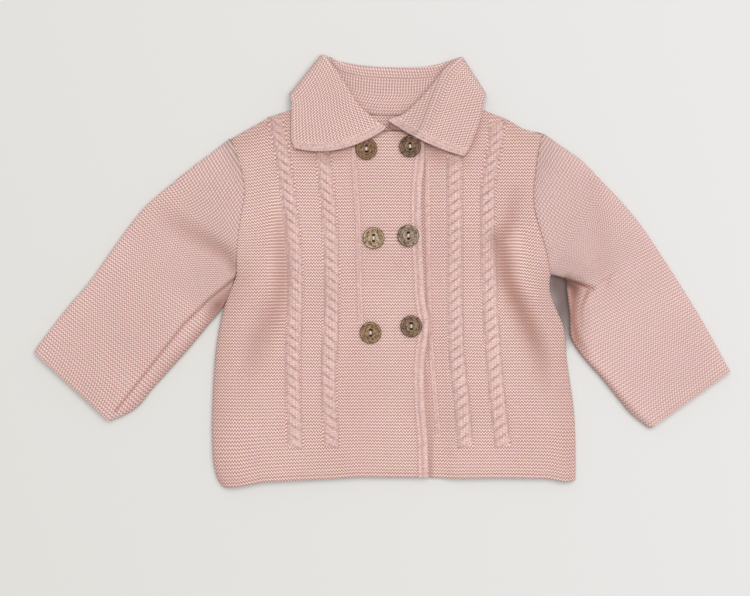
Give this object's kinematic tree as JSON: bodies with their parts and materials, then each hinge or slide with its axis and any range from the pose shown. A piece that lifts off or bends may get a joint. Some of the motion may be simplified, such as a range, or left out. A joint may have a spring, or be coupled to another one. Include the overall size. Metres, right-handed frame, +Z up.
{
  "type": "baby coat",
  "caption": "Knitted baby coat laid flat on its back: fold-over collar, double-breasted front with cables and round buttons, long sleeves.",
  "frame": {"origin": "centre of the laid-out coat's box, on the plane it lies on", "axes": "+X towards the cuff of the wearer's left sleeve, +Y towards the collar, +Z up, out of the front"},
  "size_m": [0.583, 0.362, 0.0142],
  "materials": {
    "knit": "pale pink wool, soft and matt, knitted in garter stitch",
    "button_brown": "mottled bronze brown with a worn, paler rim"
  },
  "bodies": {
    "root": {"back": "knit", "front_right": "knit", "front_left": "knit", "sleeve_right": "knit", "sleeve_left": "knit", "collar": "knit", "button_top_right": "button_brown", "button_top_left": "button_brown", "button_middle_right": "button_brown", "button_middle_left": "button_brown", "button_bottom_right": "button_brown", "button_bottom_left": "button_brown"}
  },
  "joints": []
}
